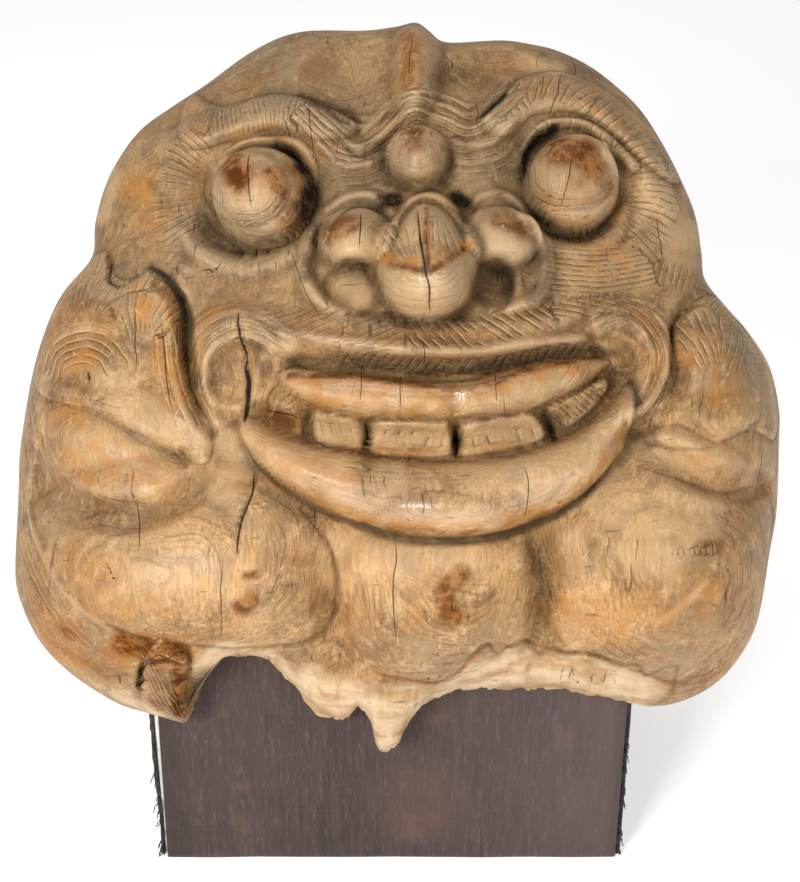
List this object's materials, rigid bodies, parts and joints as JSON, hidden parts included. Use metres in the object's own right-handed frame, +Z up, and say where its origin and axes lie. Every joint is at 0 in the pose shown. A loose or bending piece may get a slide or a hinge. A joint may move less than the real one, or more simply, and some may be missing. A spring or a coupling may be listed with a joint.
{
  "type": "wooden parade mask on a cloth-covered display block",
  "caption": "Hollow carved wooden parade mask with a wide grotesque face, leaning back over a cloth-covered display block.",
  "frame": {"origin": "middle of the object's footprint, on the surface that the block stands on", "axes": "+X to the viewer's right, +Z up; the face looks towards -Y and leans back"},
  "size_m": [0.4992, 0.3704, 0.4994],
  "materials": {
    "aged_wood": "bare carved wood, worn, stained and polished by handling on the high places",
    "white_board": "matt white board",
    "brown_cloth": "faded slubby linen weave",
    "black_cloth": "black cloth with a frayed edge"
  },
  "bodies": {
    "root": {"mask_shell": "aged_wood", "block_core": "white_board", "block_front_cloth": "brown_cloth", "block_side_cloth": "black_cloth"}
  },
  "joints": []
}
